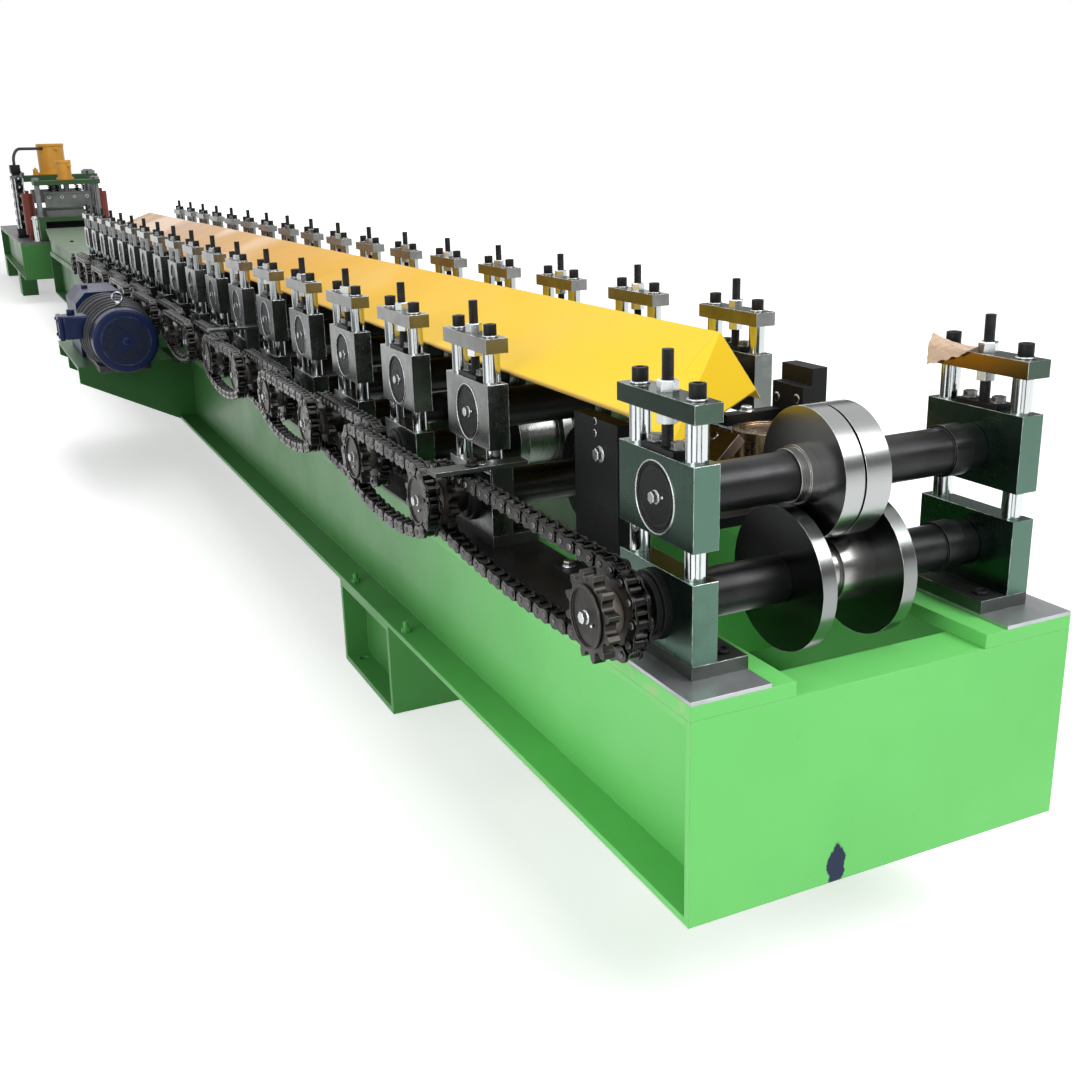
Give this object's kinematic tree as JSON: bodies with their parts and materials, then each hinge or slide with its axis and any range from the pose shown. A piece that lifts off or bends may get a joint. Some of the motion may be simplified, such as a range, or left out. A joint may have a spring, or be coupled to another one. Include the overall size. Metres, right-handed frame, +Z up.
{
  "type": "roll forming machine",
  "caption": "Long green machine bed with paired bearing stands, roll shafts, chain drive, motor, sheet cover, run-out table and hydraulic presses.",
  "frame": {"origin": "on the floor under the middle of the front sleeper, on the machine's middle plane", "axes": "+Z up, +X towards the near (entry) end with the front roll pair, the chain drive and motor are on the -Y side"},
  "size_m": [15.265, 1.28, 1.458],
  "materials": {
    "green_paint": "gloss enamel, scuffed",
    "ground_steel": "ground, oiled",
    "polished_steel": "polished",
    "roll_steel": "turned and polished",
    "black_steel": "black oxide",
    "plate_steel": "rolled plate, dark",
    "chain_steel": "oiled",
    "yellow_paint": "satin",
    "blue_paint": "gloss enamel",
    "pale_table": "satin",
    "die_steel": "ground",
    "red_paint": "satin",
    "hose_rubber": "matt",
    "cast_iron": "as cast"
  },
  "bodies": {
    "machine_frame": {"bed_beams": "green_paint", "rails": "green_paint", "end_plates": "green_paint", "cross_members": "green_paint", "sleepers": "green_paint", "wear_strips": "plate_steel", "stand_feet": "plate_steel", "lower_blocks": "ground_steel", "upper_blocks": "ground_steel", "columns": "polished_steel", "cap_plates": "ground_steel", "adjusting_screws": "black_steel", "screw_retainers": "black_steel", "bearing_caps": "black_steel", "upper_shafts": "black_steel", "lower_shafts": "black_steel", "upper_rolls": "roll_steel", "lower_rolls": "roll_steel", "sprockets": "chain_steel", "drive_chains": "chain_steel", "tie_bars": "plate_steel", "entry_guides": "black_steel", "guide_bar": "ground_steel", "guide_roller": "polished_steel", "cover_sheets": "yellow_paint", "cover_rests": "plate_steel", "motor_bracket": "green_paint", "motor_fan_cover": "blue_paint", "motor_body": "cast_iron", "terminal_box": "blue_paint", "gearbox": "blue_paint", "drive_shaft": "chain_steel", "table_supports": "green_paint", "runout_table": "pale_table", "press_bed_top": "plate_steel", "press_decks": "green_paint", "press_posts": "polished_steel", "press_heads": "green_paint", "lower_dies": "die_steel", "press_cylinders": "yellow_paint", "side_cylinders": "red_paint", "valve_stack": "black_steel", "press_hose": "hose_rubber"},
    "front_rollers_slide": {"front_upper_blocks": "ground_steel", "front_adjusting_screws": "black_steel", "front_screw_retainers": "black_steel", "front_bearing_caps": "black_steel"},
    "front_upper_roller": {"front_upper_shaft": "black_steel", "front_upper_rolls": "roll_steel", "front_upper_spacers": "polished_steel"},
    "front_lower_roller": {"front_lower_shaft": "black_steel", "front_lower_rolls": "roll_steel", "front_lower_spacer": "polished_steel", "front_sprockets": "chain_steel"},
    "shear_ram": {"shear_upper_die": "die_steel"},
    "punch_ram": {"punch_upper_die": "die_steel"}
  },
  "joints": [
    {"name": "front_roller_height", "type": "slide", "parent": "machine_frame", "child": "front_rollers_slide", "axis": [0, 0, 1], "range_m": [0, 0.02]},
    {"name": "front_upper_turn", "type": "hinge", "parent": "front_rollers_slide", "child": "front_upper_roller", "pos_m": [1.3505, 0, 0.814], "axis": [0, 1, 0], "continuous": true},
    {"name": "front_lower_turn", "type": "hinge", "parent": "machine_frame", "child": "front_lower_roller", "pos_m": [1.3505, 0, 0.657], "axis": [0, 1, 0], "continuous": true},
    {"name": "shear_stroke", "type": "slide", "parent": "machine_frame", "child": "shear_ram", "axis": [0, 0, -1], "range_m": [0, 0.02]},
    {"name": "punch_stroke", "type": "slide", "parent": "machine_frame", "child": "punch_ram", "axis": [0, 0, -1], "range_m": [0, 0.024]}
  ]
}
